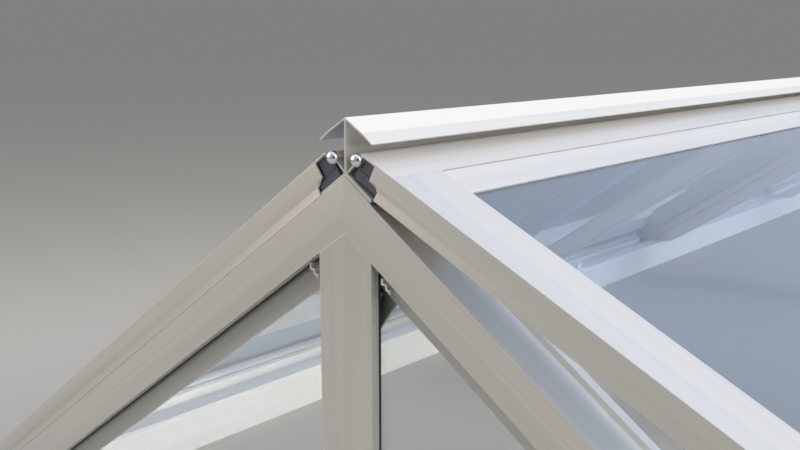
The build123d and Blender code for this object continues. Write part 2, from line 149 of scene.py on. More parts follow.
# %% Patches: name, direction, colour, cosine at the edge, cosine at the core
PATCHES = (
    ("screen", (0.10, -0.90, 0.30), (0.34, 0.35, 0.28, 1), 0.72, 0.97),
    ("glow", (-0.85, -0.46, 0.18), (1.50, 1.33, 1.12, 1), 0.74, 0.96),
    ("haze", (0.93, 0.16, 0.24), (2.00, 1.89, 1.74, 1), 0.62, 0.97),
    ("flag", (0.70, -0.69, 0.16), (0.03, 0.04, 0.03, 1), 0.90, 0.95),
)


def eased(nodes, links, value, start, end):
    """0 where value is start and 1 where it is end, with a soft run between."""
    node = nodes.new("ShaderNodeMapRange")
    node.interpolation_type = "SMOOTHSTEP"
    node.inputs["From Min"].default_value = start
    node.inputs["From Max"].default_value = end
    links.new(value, node.inputs["Value"])
    return node.outputs["Result"]


mirrored = bands.outputs["Color"]
for patch_name, patch_direction, patch_colour, edge_cosine, core_cosine in PATCHES:
    towards = world_nodes.new("ShaderNodeVectorMath")
    towards.operation = "DOT_PRODUCT"
    towards.inputs[1].default_value = Vector(patch_direction).normalized()
    world_links.new(direction.outputs["Generated"], towards.inputs[0])
    share = eased(world_nodes, world_links, towards.outputs["Value"], edge_cosine, core_cosine)
    patch = world_nodes.new("ShaderNodeMixRGB")
    patch.name = patch_name
    patch.inputs["Color2"].default_value = patch_colour
    world_links.new(share, patch.inputs["Fac"])
    world_links.new(mirrored, patch.inputs["Color1"])
    mirrored = patch.outputs["Color"]
print("patches:", [row[0] for row in PATCHES])

# %% [markdown]
# The camera itself sees only the plain bands, as Light Path tells its rays from the rest.

# %% Plain bands for the camera
seen_by = world_nodes.new("ShaderNodeLightPath")
backdrop = world_nodes.new("ShaderNodeMixRGB")
world_links.new(seen_by.outputs["Is Camera Ray"], backdrop.inputs["Fac"])
world_links.new(mirrored, backdrop.inputs["Color1"])
world_links.new(bands.outputs["Color"], backdrop.inputs["Color2"])
world_links.new(backdrop.outputs["Color"], world_nodes["Background"].inputs["Color"])
print("nodes in the world:", len(world_nodes))

# %% [markdown]
# A low, wide sun from the right lights the slopes and leaves the gable in soft shade.

# %% Low sun
SUN_DIRECTION = Vector((0.86, 0.22, 0.42))
SUN_STRENGTH = 1.42
SUN_WIDTH = radians(14)
SUN_COLOUR = (1.0, 0.965, 0.91)

sun_data = bpy.data.lights.new("low_sun", "SUN")
sun_data.energy = SUN_STRENGTH
sun_data.angle = SUN_WIDTH
sun_data.color = SUN_COLOUR
sun = in_scene("low_sun", sun_data)
sun.rotation_euler = SUN_DIRECTION.to_track_quat("Z", "Y").to_euler()
print("sun strength:", SUN_STRENGTH)

# %% [markdown]
# The floor is one wide disc, pale and a little warm under the roof. Further out it fades into a glow of the
# backdrop's own colour, so that no horizon line shows. The fade runs with one over the distance, which looks
# even from a low camera. The floor is part of the stage, not of the roof.

# %% Floor disc
FLOOR_RADIUS = 80.0
FLOOR_SIDES = 96


def mesh_of(shape, name):
    """The mesh of a bmesh, which is freed."""
    mesh = bpy.data.meshes.new(name)
    shape.to_mesh(mesh)
    shape.free()
    return mesh


disc = bmesh.new()
bmesh.ops.create_circle(disc, cap_ends=True, segments=FLOOR_SIDES, radius=FLOOR_RADIUS)
floor = in_scene("floor", mesh_of(disc, "floor"))
print("floor radius:", FLOOR_RADIUS)

# %% Floor finish
FLOOR_COLOUR = (0.50, 0.465, 0.41, 1)
FLOOR_ROUGHNESS = 0.9
FLOOR_SHINE = 0.1
FADE_START = 1.2
FADE_END = 40.0


def new_material(name):
    """An empty material with a Principled shader, its nodes and its links."""
    material = bpy.data.materials.new(name)
    material.use_nodes = True
    tree = material.node_tree
    return material, tree.nodes, tree.links, tree.nodes["Principled BSDF"]


floor_material, floor_nodes, floor_links, floor_shader = new_material("studio_floor")
floor_shader.inputs["Roughness"].default_value = FLOOR_ROUGHNESS
floor_shader.inputs["Specular IOR Level"].default_value = FLOOR_SHINE
floor_shader.inputs["Base Color"].default_value = FLOOR_COLOUR
floor_place = floor_nodes.new("ShaderNodeTexCoord")
floor_distance = floor_nodes.new("ShaderNodeVectorMath")
floor_distance.operation = "LENGTH"
floor_inverse = floor_nodes.new("ShaderNodeMath")
floor_inverse.operation = "DIVIDE"
floor_inverse.inputs[0].default_value = 1.0
floor_glow = floor_nodes.new("ShaderNodeEmission")
floor_glow.inputs["Color"].default_value = BACKDROP_COLOUR
floor_choice = floor_nodes.new("ShaderNodeMixShader")
floor_links.new(floor_place.outputs["Object"], floor_distance.inputs[0])
floor_links.new(floor_distance.outputs["Value"], floor_inverse.inputs[1])
floor_fade = eased(floor_nodes, floor_links, floor_inverse.outputs["Value"], 1 / FADE_START, 1 / FADE_END)
floor_links.new(floor_fade, floor_choice.inputs["Fac"])
floor_links.new(floor_shader.outputs["BSDF"], floor_choice.inputs[1])
floor_links.new(floor_glow.outputs["Emission"], floor_choice.inputs[2])
floor_links.new(floor_choice.outputs["Shader"], floor_nodes["Material Output"].inputs["Surface"])
floor.data.materials.append(floor_material)
print("floor fades between", FADE_START, "and", FADE_END, "m")

# %% [markdown]
# ## Satin aluminium
# The bars are extruded, so their faces carry faint lines along their length and no other way. Noise drawn out
# along the bar gives such lines with no seams. A Texture type Mapping turns the object's coordinates until
# the grain lies along X, then divides them: by a lot along the bar, by little across it.


# %% Helpers for patterns
def stretched(nodes, links, sizes, turn=(0, 0, 0)):
    """Object coordinates turned back by turn, then divided by sizes."""
    coordinates = nodes.new("ShaderNodeTexCoord")
    mapping = nodes.new("ShaderNodeMapping")
    mapping.vector_type = "TEXTURE"
    mapping.inputs["Rotation"].default_value = turn
    mapping.inputs["Scale"].default_value = sizes
    links.new(coordinates.outputs["Object"], mapping.inputs["Vector"])
    return mapping.outputs["Vector"]


def noise(nodes, links, vector, detail=2.0, roughness=0.5):
    """A noise texture read from vector."""
    node = nodes.new("ShaderNodeTexNoise")
    node.inputs["Scale"].default_value = 1.0
    node.inputs["Detail"].default_value = detail
    node.inputs["Roughness"].default_value = roughness
    links.new(vector, node.inputs["Vector"])
    return node.outputs["Fac"]


def ranged(nodes, links, value, low, high, from_low=0.0, from_high=1.0):
    """value moved from one range to another."""
    node = nodes.new("ShaderNodeMapRange")
    node.inputs["From Min"].default_value = from_low
    node.inputs["From Max"].default_value = from_high
    node.inputs["To Min"].default_value = low
    node.inputs["To Max"].default_value = high
    links.new(value, node.inputs["Value"])
    return node.outputs["Result"]


def mixed(nodes, links, factor, first, second):
    """Two colours mixed by factor; each of the three is a socket or a value."""
    node = nodes.new("ShaderNodeMix")
    node.data_type = "RGBA"
    for name, value in (("Factor", factor), ("A", first), ("B", second)):
        socket = [s for s in node.inputs if s.name == name and s.enabled][0]
        if isinstance(value, bpy.types.NodeSocket):
            links.new(value, socket)
        else:
            socket.default_value = value
    return [s for s in node.outputs if s.enabled][0]


def banded(nodes, links, value, stops):
    """value looked up in a colour ramp of (position, colour) stops."""
    ramp = nodes.new("ShaderNodeValToRGB")
    elements = ramp.color_ramp.elements
    elements[0].position, elements[0].color = stops[0]
    elements[1].position, elements[1].color = stops[-1]
    for position, colour in stops[1:-1]:
        elements.new(position).color = colour
    links.new(value, ramp.inputs["Fac"])
    return ramp.outputs["Color"]


def bumped(nodes, links, height, strength, distance):
    """A Bump node that reads height."""
    bump = nodes.new("ShaderNodeBump")
    bump.inputs["Strength"].default_value = strength
    bump.inputs["Distance"].default_value = distance
    links.new(height, bump.inputs["Height"])
    return bump


# %% Colour along the grain
METAL_COOL = (0.710, 0.710, 0.660, 1)
METAL_PLAIN = (0.800, 0.775, 0.745, 1)
METAL_WARM = (0.820, 0.772, 0.705, 1)
METAL_LINE = (0.645, 0.630, 0.590, 1)
METAL_STOPS = ((0.32, METAL_COOL), (0.5, METAL_PLAIN), (0.68, METAL_WARM))
BAND_SIZES = (1.1, 0.03, 0.03)
STREAK_SIZES = (0.5, 0.005, 0.005)
STREAK_RANGE = (0.50, 0.72)
LINE_RANGE = (0.50, 0.70)
LINE_SHARE = 0.22


def extruded_colour(nodes, links, turn, lines):
    """Broad bands of colour along the grain, with streaks and fine lines in them."""
    broad = noise(nodes, links, stretched(nodes, links, BAND_SIZES, turn))
    streaks = noise(nodes, links, stretched(nodes, links, STREAK_SIZES, turn))
    body = banded(nodes, links, broad, METAL_STOPS)
    for marks, mark_range in ((streaks, STREAK_RANGE), (lines, LINE_RANGE)):
        share = ranged(nodes, links, marks, 0.0, LINE_SHARE, *mark_range)
        body = mixed(nodes, links, share, body, METAL_LINE)
    return body


# %% [markdown]
# The ridge cap gets a painted highlight on its two flattest faces, and that shows its fold, while its underside
# gets a painted bluish shade and reflection. The Z of a face's own normal tells which is which.

# %% Painted highlight and painted underside shade of the ridge cap
# Painted highlight on the cap's flattest faces, and painted bluish shade and reflection on its underside.
FLAT_FACE_HIGHLIGHT = (0.940, 0.905, 0.805, 1)
UNDERSIDE_SHADE = (0.260, 0.310, 0.460, 1)
UNDERSIDE_SHADE_SHARE = 0.65
BELOW_START = -0.20
FOLD_LOW = 0.818
FOLD_HIGH = 0.844


def painted_level_light(nodes, links, body, flat_highlight_share):
    """Paints a highlight on faces that are nearly level, by flat_highlight_share, and a bluish shade and
    reflection on those that look down.
    """
    geometry = nodes.new("ShaderNodeNewGeometry")
    upward = nodes.new("ShaderNodeSeparateXYZ")
    links.new(geometry.outputs["True Normal"], upward.inputs["Vector"])
    flat_highlight = ranged(nodes, links, upward.outputs["Z"], 0.0, flat_highlight_share, FOLD_LOW, FOLD_HIGH)
    body = mixed(nodes, links, flat_highlight, body, FLAT_FACE_HIGHLIGHT)
    underside_shade = ranged(nodes, links, upward.outputs["Z"], UNDERSIDE_SHADE_SHARE, 0.0, -FOLD_LOW, BELOW_START)
    return mixed(nodes, links, underside_shade, body, UNDERSIDE_SHADE)


# %% [markdown]
# The sharp edges get a painted highlight, and the creases a painted bluish shade. The Bevel node finds the
# edges, where its rounded normal leaves the plain one, and Ambient Occlusion finds the creases. Neither needs a
# mask drawn in a picture.

# %% Painted highlight on edges and painted shade in creases
# Painted highlight along sharp edges, and painted bluish shade in creases.
EDGE_HIGHLIGHT_COLOUR = (0.970, 0.970, 0.960, 1)
EDGE_TURN = (0.80, 0.995)
CREASE_SHADE_COLOUR = (0.24, 0.26, 0.32, 1)
CREASE_REACH = 0.004
CREASE_SHADE_SHARE = 0.28
CREASE_OPEN = 0.5
CREASE_SAMPLES = 4


def painted_edges_and_creases(nodes, links, body, rounded):
    """Paints a highlight on edges and a bluish shade in creases; rounded is the normal with rounded edges."""
    geometry = nodes.new("ShaderNodeNewGeometry")
    facing = nodes.new("ShaderNodeVectorMath")
    facing.operation = "DOT_PRODUCT"
    links.new(rounded, facing.inputs[0])
    links.new(geometry.outputs["Normal"], facing.inputs[1])
    edge_highlight = ranged(nodes, links, facing.outputs["Value"], 1.0, 0.0, *EDGE_TURN)
    crease = nodes.new("ShaderNodeAmbientOcclusion")
    crease.samples = CREASE_SAMPLES
    crease.inputs["Distance"].default_value = CREASE_REACH
    crease_shade = ranged(nodes, links, crease.outputs["AO"], CREASE_SHADE_SHARE, 0.0, 0.0, CREASE_OPEN)
    body = mixed(nodes, links, crease_shade, body, CREASE_SHADE_COLOUR)
    return mixed(nodes, links, edge_highlight, body, EDGE_HIGHLIGHT_COLOUR)


# %% [markdown]
# One function puts the finish together. The grain also spreads reflections across itself, which is what
# Anisotropic does, with the grain as its tangent, so each bar gets the version whose grain runs along it. The
# eaves bars are less metallic than the rest, as their faces look chalky white through the glass.

# %% Satin aluminium
METAL_SHARE = 0.5
LINE_SIZES = (0.6, 0.0011, 0.0011)
LINE_STRENGTH = 0.3
LINE_DEPTH = 0.00004
LINE_HEIGHTS = (0.3, 0.7)
LINE_ROUGHNESS = (0.30, 0.42)
SPECKLE_SIZES = (0.0015, 0.0015, 0.0015)
SPECKLE_ROUGHNESS = 0.03
EDGE_RADIUS = 0.0010
EDGE_SAMPLES = 6
GRAIN_SPREAD = 0.6
ACROSS_GRAIN = 0.25


def satin_aluminium(name, turn, flat_highlight_share=0.0, metal_share=METAL_SHARE):
    """Extruded aluminium, its grain along X after turn; flat_highlight_share paints a highlight on nearly level
    faces.
    """
    material, nodes, links, shader = new_material(name)
    lines = noise(nodes, links, stretched(nodes, links, LINE_SIZES, turn), detail=3.0)
    speckle = noise(nodes, links, stretched(nodes, links, SPECKLE_SIZES, turn))
    bevel = nodes.new("ShaderNodeBevel")
    bevel.samples = EDGE_SAMPLES
    bevel.inputs["Radius"].default_value = EDGE_RADIUS
    rounded = bevel.outputs["Normal"]
    body = extruded_colour(nodes, links, turn, lines)
    # Painted highlight on level faces and painted shade on faces that look down.
    if flat_highlight_share:
        body = painted_level_light(nodes, links, body, flat_highlight_share)
    # Painted edge highlight and crease shade over the colour.
    links.new(painted_edges_and_creases(nodes, links, body, rounded), shader.inputs["Base Color"])
    rough = nodes.new("ShaderNodeMath")
    rough.operation = "ADD"
    links.new(ranged(nodes, links, lines, *LINE_ROUGHNESS, *LINE_HEIGHTS), rough.inputs[0])
    links.new(ranged(nodes, links, speckle, -SPECKLE_ROUGHNESS, SPECKLE_ROUGHNESS), rough.inputs[1])
    links.new(rough.outputs[0], shader.inputs["Roughness"])
    bump = bumped(nodes, links, lines, LINE_STRENGTH, LINE_DEPTH)
    links.new(rounded, bump.inputs["Normal"])
    links.new(bump.outputs["Normal"], shader.inputs["Normal"])
    tangent = nodes.new("ShaderNodeCombineXYZ")
    for axis, share in zip("XYZ", Euler(turn).to_matrix() @ Vector((1, 0, 0))):
        tangent.inputs[axis].default_value = share
    links.new(tangent.outputs["Vector"], shader.inputs["Tangent"])
    shader.inputs["Anisotropic"].default_value = GRAIN_SPREAD
    shader.inputs["Anisotropic Rotation"].default_value = ACROSS_GRAIN
    shader.inputs["Metallic"].default_value = metal_share
    return material


# %% One finish for each way the grain runs
ALONG_RIDGE = (0, 0, pi / 2)
# Share of the painted highlight on the ridge cap's flattest faces.
RIDGE_FLAT_HIGHLIGHT = 0.9
RIDGE_METAL_SHARE = 0.38
EAVES_METAL_SHARE = 0.15

grain = {
    "ridge": satin_aluminium("aluminium_ridge", ALONG_RIDGE, RIDGE_FLAT_HIGHLIGHT, RIDGE_METAL_SHARE),
    "along_ridge": satin_aluminium("aluminium_along_ridge", ALONG_RIDGE),
    "eaves": satin_aluminium("aluminium_eaves", ALONG_RIDGE, metal_share=EAVES_METAL_SHARE),
    "upright": satin_aluminium("aluminium_upright", (0, pi / 2, 0)),
    "across": satin_aluminium("aluminium_across", (0, 0, 0)),
    "right_slope": satin_aluminium("aluminium_right_slope", (0, ROOF_PITCH, 0)),
    "left_slope": satin_aluminium("aluminium_left_slope", (0, -ROOF_PITCH, 0)),
    "open_slope": satin_aluminium("aluminium_open_slope", (0, ROOF_PITCH - LID_OPENING, 0)),
}
print("aluminium finishes:", len(grain))

# %% [markdown]
# ## Glass
# A pane is clear, with the faint blue of float glass and a film of dust that makes it a little hazy. Lamps
# would cast black shadows through a refracting shader, so rays from lamps meet a nearly clear Transparent
# shader instead, and the sun lights the bars inside.

# %% Clear glass
ROOF_GLASS_TINT = (0.62, 0.71, 0.84, 1)
GABLE_GLASS_TINT = (0.93, 0.94, 0.93, 1)
LAMP_TINT = (0.92, 0.94, 0.97, 1)
GLASS_IOR = 1.5
FILM_SIZES = (0.25, 0.25, 0.25)
FILM_RANGE = (0.45, 0.8)
FILM_ROUGHNESS = 0.004


def clear_glass(name, tint):
    """Float glass with a faint film of dust."""
    material, nodes, links, shader = new_material(name)
    shader.inputs["Base Color"].default_value = tint
    shader.inputs["IOR"].default_value = GLASS_IOR
    shader.inputs["Transmission Weight"].default_value = 1.0
    film = noise(nodes, links, stretched(nodes, links, FILM_SIZES), detail=4.0, roughness=0.6)
    links.new(ranged(nodes, links, film, 0.0, FILM_ROUGHNESS, *FILM_RANGE), shader.inputs["Roughness"])
    path = nodes.new("ShaderNodeLightPath")
    clear = nodes.new("ShaderNodeBsdfTransparent")
    clear.inputs["Color"].default_value = LAMP_TINT
    choice = nodes.new("ShaderNodeMixShader")
    links.new(path.outputs["Is Shadow Ray"], choice.inputs["Fac"])
    links.new(shader.outputs["BSDF"], choice.inputs[1])
    links.new(clear.outputs["BSDF"], choice.inputs[2])
    links.new(choice.outputs["Shader"], nodes["Material Output"].inputs["Surface"])
    return material


roof_glass = clear_glass("roof_glass", ROOF_GLASS_TINT)
gable_glass = clear_glass("gable_glass", GABLE_GLASS_TINT)
print("glass finishes:", roof_glass.name, gable_glass.name)

# %% [markdown]
# ## Rubber, chrome, steel and plastic
# Rubber is nearly black and blooms a little, chrome is a mirror with faint wear, and galvanised steel has
# crystals a few millimetres wide. The clips and keepers are white moulded plastic, the plugs and end caps
# dark. Each finish varies over blotches of its own size, so one function serves them all.

# %% Small part finishes
BLOTCH_RANGE = (0.3, 0.7)
GRAINS_IN_BLOTCH = 8
GRAIN_DEPTHS_IN_BLOTCH = 200
GRAIN_STRENGTH = 0.15


def blotched(name, size, first, second, roughnesses, metallic=0.0):
    """A finish that varies between two colours and two roughnesses over blotches of a given size."""
    material, nodes, links, shader = new_material(name)
    tone = noise(nodes, links, stretched(nodes, links, (size, size, size)), detail=3.0)
    tone = ranged(nodes, links, tone, 0.0, 1.0, *BLOTCH_RANGE)
    links.new(mixed(nodes, links, tone, first, second), shader.inputs["Base Color"])
    links.new(ranged(nodes, links, tone, *roughnesses), shader.inputs["Roughness"])
    shader.inputs["Metallic"].default_value = metallic
    fine = size / GRAINS_IN_BLOTCH
    fine_grain = noise(nodes, links, stretched(nodes, links, (fine, fine, fine)))
    bump = bumped(nodes, links, fine_grain, GRAIN_STRENGTH, size / GRAIN_DEPTHS_IN_BLOTCH)
    links.new(bump.outputs["Normal"], shader.inputs["Normal"])
    return material


rubber = blotched("black_rubber", 0.006, (0.018, 0.018, 0.02, 1), (0.05, 0.05, 0.052, 1), (0.55, 0.8))
chrome = blotched("polished_chrome", 0.004, (0.88, 0.89, 0.90, 1), (0.84, 0.85, 0.86, 1), (0.015, 0.06), 1.0)
steel = blotched("galvanised_steel", 0.005, (0.50, 0.51, 0.52, 1), (0.70, 0.71, 0.72, 1), (0.28, 0.5), 0.9)
plate_grey = blotched("mill_plate", 0.02, (0.36, 0.365, 0.36, 1), (0.46, 0.465, 0.46, 1), (0.35, 0.5), 0.7)
white_plastic = blotched("white_plastic", 0.008, (0.80, 0.81, 0.80, 1), (0.86, 0.87, 0.86, 1), (0.35, 0.5))
dark_plastic = blotched("dark_plastic", 0.006, (0.10, 0.11, 0.15, 1), (0.13, 0.14, 0.185, 1), (0.4, 0.55))
# Dark grey sealant, whose colour also paints the shade line in the lap groove.
sealant_and_groove_shade = blotched("sealant_and_groove_shade", 0.003, (0.16, 0.16, 0.15, 1), (0.24, 0.235, 0.22, 1), (0.6, 0.8))
print("finishes in all:", len(bpy.data.materials))


# %% Give every piece of the frame its finish
def finish_of(node):
    """The finish of a piece of the frame, by its name."""
    if "glass" in node:
        return gable_glass if node.startswith("gable") else roof_glass
    if "gasket" in node:
        return rubber
    if node == "hinge_studs":
        return chrome
    if node in ("lid_stays", "stay_brackets"):
        return steel
    if node.startswith("apex_gussets"):
        return plate_grey
    if node.startswith("king_post"):
        return grain["upright"]
    if node.startswith("gable_tie"):
        return grain["across"]
    if "stiles" in node or "rafter" in node:
        if node == "lid_front_right_stiles":
            return grain["open_slope"]
        return grain["left_slope"] if "left" in node else grain["right_slope"]
    if node == "ridge_bar":
        return grain["ridge"]
    if node.startswith("eave_bar"):
        return grain["eaves"]
    return grain["along_ridge"]


for node_name, node_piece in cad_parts.items():
    for material_slot in node_piece.material_slots:
        material_slot.material = finish_of(node_name)
print("pieces finished:", len(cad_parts))

# %% [markdown]
# ## Bars with a finer shape
# Seen close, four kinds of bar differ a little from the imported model. Each becomes a new piece: a merged copy
# of the node's mesh whose points are moved by a small rule. A copy keeps every cut and mitre, which a fresh
# mesh would have to repeat.

# %% Helpers that make pieces
MERGE_REACH = 0.000001


def add_piece(name, mesh):
    """Link a finished mesh as a piece that belongs to the roof."""
    piece = in_scene(name, mesh)
    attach(piece, "root")
    print(name, "triangles:", sum(len(polygon.vertices) - 2 for polygon in mesh.polygons))
    return piece


def reshaped(node, name, new_place):
    """A merged copy of a node's mesh, its points moved by new_place, that stands for the node."""
    shape = bmesh.new()
    shape.from_mesh(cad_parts[node].data)
    bmesh.ops.remove_doubles(shape, verts=shape.verts, dist=MERGE_REACH)
    for corner in shape.verts:
        corner.co = new_place(corner.co)
    mesh = mesh_of(shape, name)
    mesh.materials.append(finish_of(node))
    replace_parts(add_piece(name, mesh), node)


# %% [markdown]
# The box under the ridge is shallower, and the fold of the cap lies a little further down its own slope.

# %% Ridge
RIDGE_BOX_LEVEL = 0.500
RIDGE_BOX_RISE = 0.020
CAP_FOLD_OLD = 0.0165
CAP_FOLD_NEW = 0.0190
CAP_FOLD_SLOPE = radians(31.5)
SAME_PLACE = 0.00001


def finer_ridge(point):
    """Lifts the bottom of the box under the ridge and moves the fold of the cap outwards."""
    if point.z < RIDGE_BOX_LEVEL:
        return point + Vector((0, 0, RIDGE_BOX_RISE))
    if point.z > hinge_z and abs(abs(point.x) - CAP_FOLD_OLD) < SAME_PLACE:
        move = CAP_FOLD_NEW - CAP_FOLD_OLD
        out = move if point.x > 0 else -move
        return point + Vector((out, 0, -move * tan(CAP_FOLD_SLOPE)))
    return point


reshaped("ridge_bar", "ridge_bar_finer", finer_ridge)

# %% [markdown]
# The gable posts have hardly any depth behind the glass. The channel on top of the gable rafters runs nearly
# to their back edge, where a slanted wall meets a narrow bright lip. Both rules work on the depth behind the
# gable's face, so they serve the front and the back alike.

# %% Gable posts and gable rafters
POST_STEM_END = 0.050
POST_STEM_CUT = 0.032
CHANNEL_FLOOR = -0.0230
CHANNEL_EDGE_OLD = 0.031
CHANNEL_EDGE_NEW = 0.0465
CHANNEL_MOVES = ((CHANNEL_EDGE_OLD, 0.0510), (0.044, 0.0512), (0.046, 0.0513))


def from_gable(y):
    """Depth of y behind the nearer gable's outer face."""
    return min(y - front_y, back_y - y)


def at_gable(point, depth):
    """The point moved along the ridge to a depth behind its nearer gable's outer face."""
    near_front = point.y - front_y < back_y - point.y
    return Vector((point.x, front_y + depth if near_front else back_y - depth, point.z))


def height_on_slope(point, side, pitch):
    """The height v of a point, square to a slope."""
    return (side * point.x - hinge_x) * sin(pitch) + (point.z - hinge_z) * cos(pitch)


def short_stem(point):
    """Brings the back of a gable post forward, close behind the glass."""
    depth = from_gable(point.y)
    return at_gable(point, depth - POST_STEM_CUT) if depth > POST_STEM_END else point


def wide_channel(point):
    """Widens the channel on a gable rafter, slants its back wall and narrows the lip behind it."""
    depth = from_gable(point.y)
    v = height_on_slope(point, 1 if point.x > 0 else -1, ROOF_PITCH)
    if abs(v - CHANNEL_FLOOR) < SAME_PLACE and abs(depth - CHANNEL_EDGE_OLD) < SAME_PLACE:
        return at_gable(point, CHANNEL_EDGE_NEW)
    for old_depth, new_depth in CHANNEL_MOVES:
        if abs(depth - old_depth) < SAME_PLACE:
            return at_gable(point, new_depth)
    return point


for gable in ("front", "back"):
    reshaped(f"king_post_{gable}", f"king_post_{gable}_short_stem", short_stem)
    for slope in ("left", "right"):
        rafter_name = f"gable_rafter_{gable}_{slope}"
        reshaped(rafter_name, f"{rafter_name}_wide_channel", wide_channel)

# %% [markdown]
# Of the four lids, only the front right one stands open. Later cells need each lid's side, pitch and ends.

# %% The four lids
lids = {}
for lid_name in ("front_right", "front_left", "back_right", "back_left"):
    stile_low, stile_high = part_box(f"lid_{lid_name}_stiles")
    lids[lid_name] = {
        "side": 1 if "right" in lid_name else -1,
        "pitch": ROOF_PITCH - (LID_OPENING if lid_name == "front_right" else 0),
        "ends": ((stile_low.y, 1), (stile_high.y, -1)),
    }
    print("lid", lid_name, "from y", round(stile_low.y, 3), "to", round(stile_high.y, 3))

# %% [markdown]
# The cove in the side of a stile turns in gently, so the top edge of the cove moves up the side. Each slope
# has its own way up, so the rule is made for one side and one pitch.

# %% Stiles
COVE_TOP_OLD = -0.0103
COVE_TOP_NEW = -0.0062


def softer_cove(side, pitch):
    """A rule that moves the top of a stile's cove up its side, so that the side turns in gently."""
    rise = (COVE_TOP_NEW - COVE_TOP_OLD) * Vector((side * sin(pitch), 0, cos(pitch)))

    def moved(point):
        on_edge = abs(height_on_slope(point, side, pitch) - COVE_TOP_OLD) < SAME_PLACE
        return point + rise if on_edge else point
    return moved


for lid_name, lid in lids.items():
    stiles_name = f"lid_{lid_name}_stiles"
    reshaped(stiles_name, f"{stiles_name}_soft_cove", softer_cove(lid["side"], lid["pitch"]))

# %% [markdown]
# ## Fittings
# A fitting is drawn once, lying at the origin, and Geometry Nodes set a copy at each place. The places are
# the vertices of a small mesh, and a vector attribute on each says how its copy is turned. The tree ends in
# Realize Instances and Set Material, so what comes out is one plain mesh.


# %% Helpers that build and run a tree
def new_tree(name, sockets):
    """A Geometry Nodes tree with a geometry input and named inputs, with its nodes and links."""
    tree = bpy.data.node_groups.new(name, "GeometryNodeTree")
    tree.interface.new_socket("Geometry", in_out="INPUT", socket_type="NodeSocketGeometry")
    for socket_name, socket_type in sockets:
        tree.interface.new_socket(socket_name, in_out="INPUT", socket_type=socket_type)
    tree.interface.new_socket("Geometry", in_out="OUTPUT", socket_type="NodeSocketGeometry")
    return tree, tree.nodes, tree.links, tree.nodes.new("NodeGroupInput")


def end_tree(nodes, links, geometry, material):
    """Ends a tree in Realize Instances and Set Material."""
    real = nodes.new("GeometryNodeRealizeInstances")
    painted = nodes.new("GeometryNodeSetMaterial")
    painted.inputs["Material"].default_value = material
    links.new(geometry, real.inputs["Geometry"])
    links.new(real.outputs["Geometry"], painted.inputs["Geometry"])
    links.new(painted.outputs["Geometry"], nodes.new("NodeGroupOutput").inputs["Geometry"])


def settled(holder, tree, values):
    """The mesh that a tree makes on holder with these named input values; the holder is removed."""
    modifier = holder.modifiers.new("nodes", "NODES")
    modifier.node_group = tree
    for item in tree.interface.items_tree:
        if item.item_type == "SOCKET" and item.in_out == "INPUT" and item.name in values:
            modifier[item.identifier] = values[item.name]
    evaluated = holder.evaluated_get(bpy.context.evaluated_depsgraph_get())
    mesh = bpy.data.meshes.new_from_object(evaluated)
    holder.modifiers.remove(modifier)
    bpy.data.objects.remove(holder)
    return mesh


# %% Set copies of a fitting
SMOOTH_ANGLE = radians(40)


def placing_tree(material):
    """Geometry Nodes that set a copy of a fitting on every point, all in one material."""
    sockets = (("Fitting", "NodeSocketObject"), ("Size", "NodeSocketFloat"))
    tree, nodes, links, inputs = new_tree("set_fittings", sockets)
    fitting = nodes.new("GeometryNodeObjectInfo")
    turn = nodes.new("GeometryNodeInputNamedAttribute")
    turn.data_type = "FLOAT_VECTOR"
    turn.inputs["Name"].default_value = "turn"
    copies = nodes.new("GeometryNodeInstanceOnPoints")
    links.new(inputs.outputs["Fitting"], fitting.inputs["Object"])
    links.new(inputs.outputs["Geometry"], copies.inputs["Points"])
    links.new(fitting.outputs["Geometry"], copies.inputs["Instance"])
    links.new(turn.outputs["Attribute"], copies.inputs["Rotation"])
    links.new(inputs.outputs["Size"], copies.inputs["Scale"])
    end_tree(nodes, links, copies.outputs["Instances"], material)
    return tree


def set_fittings(name, fitting_mesh, places, material):
    """One piece made of a copy of fitting_mesh at each (point, turn) place."""
    points = bpy.data.meshes.new(name + "_points")
    points.from_pydata([point for point, turn in places], [], [])
    turns = points.attributes.new("turn", "FLOAT_VECTOR", "POINT")
    for index, (point, turn) in enumerate(places):
        turns.data[index].vector = turn
    holder = in_scene(name + "_holder", points)
    fitting = in_scene(name + "_fitting", fitting_mesh)
    mesh = settled(holder, placing_tree(material), {"Fitting": fitting, "Size": 1.0})
    bpy.data.objects.remove(fitting)
    mesh.shade_smooth()
    mesh.set_sharp_from_angle(angle=SMOOTH_ANGLE)
    return add_piece(name, mesh)


# %% [markdown]
# A fitting on a gable is drawn as it faces on the front one, and a half turn makes a copy face out of the
# back. Each gable is given by the y of its outer face and the way inwards, 1 or -1 along the ridge.

# %% The two gables
GABLES = ((front_y, 1), (back_y, -1))


def out_of_gable(inward):
    """The turn that makes a fitting face out of a gable."""
    return (0, 0, 0 if inward > 0 else pi)


print("gable faces at y", [round(face_y, 4) for face_y, inward in GABLES])


# %% [markdown]
# ## Domed hinge studs
# Each hinge bead of the ridge ends in a polished stud whose domed head keeps the lids from sliding along. It
# is turned work, so the mesh is a profile turned on the hinge axis: the dome, its flat back against the bead,
# and a stem with shallow threads.


# %% Turned shapes
def turned(profile, steps, name):
    """A mesh turned on the Y axis from (radius, y) points that start and end on the axis."""
    shape = bmesh.new()
    rings = []
    for radius, y in profile:
        if radius == 0:
            rings.append([shape.verts.new((0, y, 0))])
            continue
        angles = [2 * pi * step / steps for step in range(steps)]
        rings.append([shape.verts.new((radius * cos(a), y, radius * sin(a))) for a in angles])
    for first, second in zip(rings, rings[1:]):
        for step in range(steps):
            corners = [first[step % len(first)], first[(step + 1) % len(first)]]
            corners += [second[(step + 1) % len(second)], second[step % len(second)]]
            shape.faces.new(list(dict.fromkeys(corners)))
    bmesh.ops.recalc_face_normals(shape, faces=shape.faces)
    return mesh_of(shape, name)


